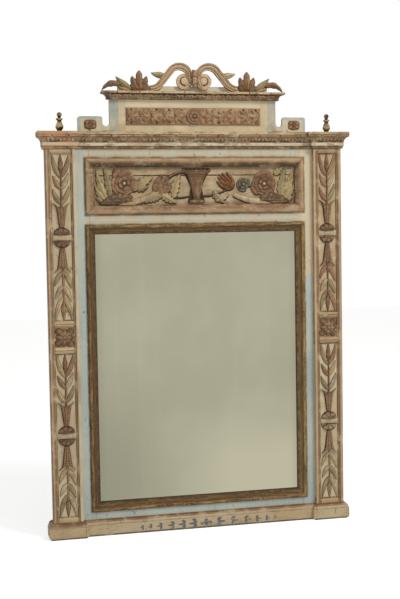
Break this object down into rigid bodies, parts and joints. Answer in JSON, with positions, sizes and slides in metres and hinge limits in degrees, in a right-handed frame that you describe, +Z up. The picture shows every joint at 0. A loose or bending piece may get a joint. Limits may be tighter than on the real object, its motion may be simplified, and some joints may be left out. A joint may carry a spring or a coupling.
{
  "type": "overmantel mirror",
  "caption": "Tall overmantel mirror of painted wood: carved pilasters and frieze round the glass under a stepped cornice and scrolled crest; stands on a shelf, hangs by swinging back rings.",
  "frame": {"origin": "on the shelf, under the middle of the part's box", "axes": "+X to the viewer's right, +Y to the wall behind, +Z up"},
  "size_m": [1.014, 0.074, 1.5],
  "materials": {
    "ivory_paint": "aged ivory paint on wood",
    "pale_blue_paint": "thin blue-grey wash on wood",
    "terracotta_paint": "worn terracotta paint",
    "mottled_paint": "ivory paint with brown mottling in the coves",
    "carved_mauve_paint": "mauve-brown paint on carving",
    "olive_paint": "olive paint on carving",
    "worn_gilding": "worn gilding over brown ground",
    "mirror_glass": "old silvered plate",
    "bare_wood": "bare darkened softwood",
    "brass": "dull turned brass",
    "iron": "forged iron"
  },
  "bodies": {
    "mirror_frame": {"attic_carved_band": "carved_mauve_paint", "attic_cornice_front": "mottled_paint", "attic_cornice_returns": "mottled_paint", "attic_panel": "ivory_paint", "back_batten": "bare_wood", "backboard_planks": "bare_wood", "bottom_rail": "pale_blue_paint", "cornice_cap": "mottled_paint", "cornice_centre": "mottled_paint", "cornice_front_left": "mottled_paint", "cornice_front_right": "mottled_paint", "cornice_returns": "mottled_paint", "crest_foliage_left": "carved_mauve_paint", "crest_foliage_right": "carved_mauve_paint", "crest_scrolls": "carved_mauve_paint", "crest_tie": "carved_mauve_paint", "finials": "brass", "frieze_leaves": "olive_paint", "frieze_moulding_bottom": "terracotta_paint", "frieze_moulding_left": "terracotta_paint", "frieze_moulding_right": "terracotta_paint", "frieze_moulding_top": "terracotta_paint", "frieze_plank_lower": "ivory_paint", "frieze_plank_upper": "ivory_paint", "frieze_roses": "carved_mauve_paint", "frieze_stems": "carved_mauve_paint", "frieze_tulips": "carved_mauve_paint", "frieze_urn": "carved_mauve_paint", "glass_blocks": "bare_wood", "hanger_plates": "iron", "middle_rail": "pale_blue_paint", "mirror_glass": "mirror_glass", "panel_carving_lower_left": "carved_mauve_paint", "panel_carving_lower_right": "carved_mauve_paint", "panel_carving_upper_left": "carved_mauve_paint", "panel_carving_upper_right": "carved_mauve_paint", "pilaster_board_left": "ivory_paint", "pilaster_board_right": "ivory_paint", "pilaster_strips_left": "ivory_paint", "pilaster_strips_right": "ivory_paint", "plinth_block_left": "ivory_paint", "plinth_block_right": "ivory_paint", "plinth_centre": "ivory_paint", "rosette_left": "carved_mauve_paint", "rosette_right": "carved_mauve_paint", "shoulder_left": "pale_blue_paint", "shoulder_paterae": "carved_mauve_paint", "shoulder_right": "pale_blue_paint", "sight_moulding_bottom": "worn_gilding", "sight_moulding_left": "worn_gilding", "sight_moulding_right": "worn_gilding", "sight_moulding_top": "worn_gilding", "stile_left": "pale_blue_paint", "stile_right": "pale_blue_paint", "top_rail": "pale_blue_paint"},
    "ring_left": {"hanger_ring_left": "iron"},
    "ring_right": {"hanger_ring_right": "iron"}
  },
  "joints": [
    {"name": "ring_left_swing", "type": "hinge", "parent": "mirror_frame", "child": "ring_left", "pos_m": [-0.4155, 0.0294, 1.212], "axis": [1, 0, 0], "range_deg": [0, 170]},
    {"name": "ring_right_swing", "type": "hinge", "parent": "mirror_frame", "child": "ring_right", "pos_m": [0.4155, 0.0294, 1.212], "axis": [1, 0, 0], "range_deg": [0, 170]}
  ]
}
